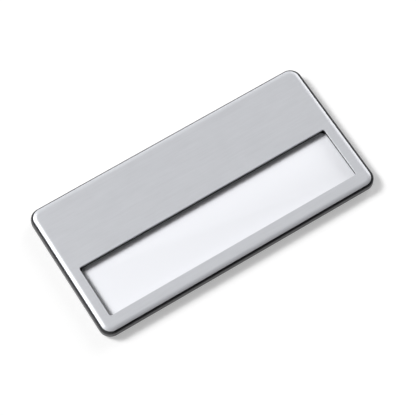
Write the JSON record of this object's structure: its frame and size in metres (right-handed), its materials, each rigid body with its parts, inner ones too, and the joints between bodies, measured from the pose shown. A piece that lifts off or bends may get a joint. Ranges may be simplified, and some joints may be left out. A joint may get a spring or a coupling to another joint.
{
  "type": "name badge",
  "caption": "Rectangular name badge: thin satin metal front plate with crowned, turned-down edges and a long window over a blank card, black back plate with a proud rim, plain magnet bar behind.",
  "frame": {"origin": "on the surface that the badge lies on, under the middle of the back plate", "axes": "+X along the badge's long side, to the right as it is read; +Y towards its upper edge; +Z out of its front face"},
  "size_m": [0.076, 0.0374, 0.0032],
  "materials": {
    "satin_metal": "satin silver, fine even grain",
    "black_plastic": "moulded, fine matte",
    "white_card": "smooth uncoated white card, blank",
    "plated_steel": "nickel plated, satin"
  },
  "bodies": {
    "root": {"front_plate": "satin_metal", "inner_frame": "black_plastic", "name_card": "white_card", "back_plate": "black_plastic", "magnet_bar": "plated_steel"}
  },
  "joints": []
}
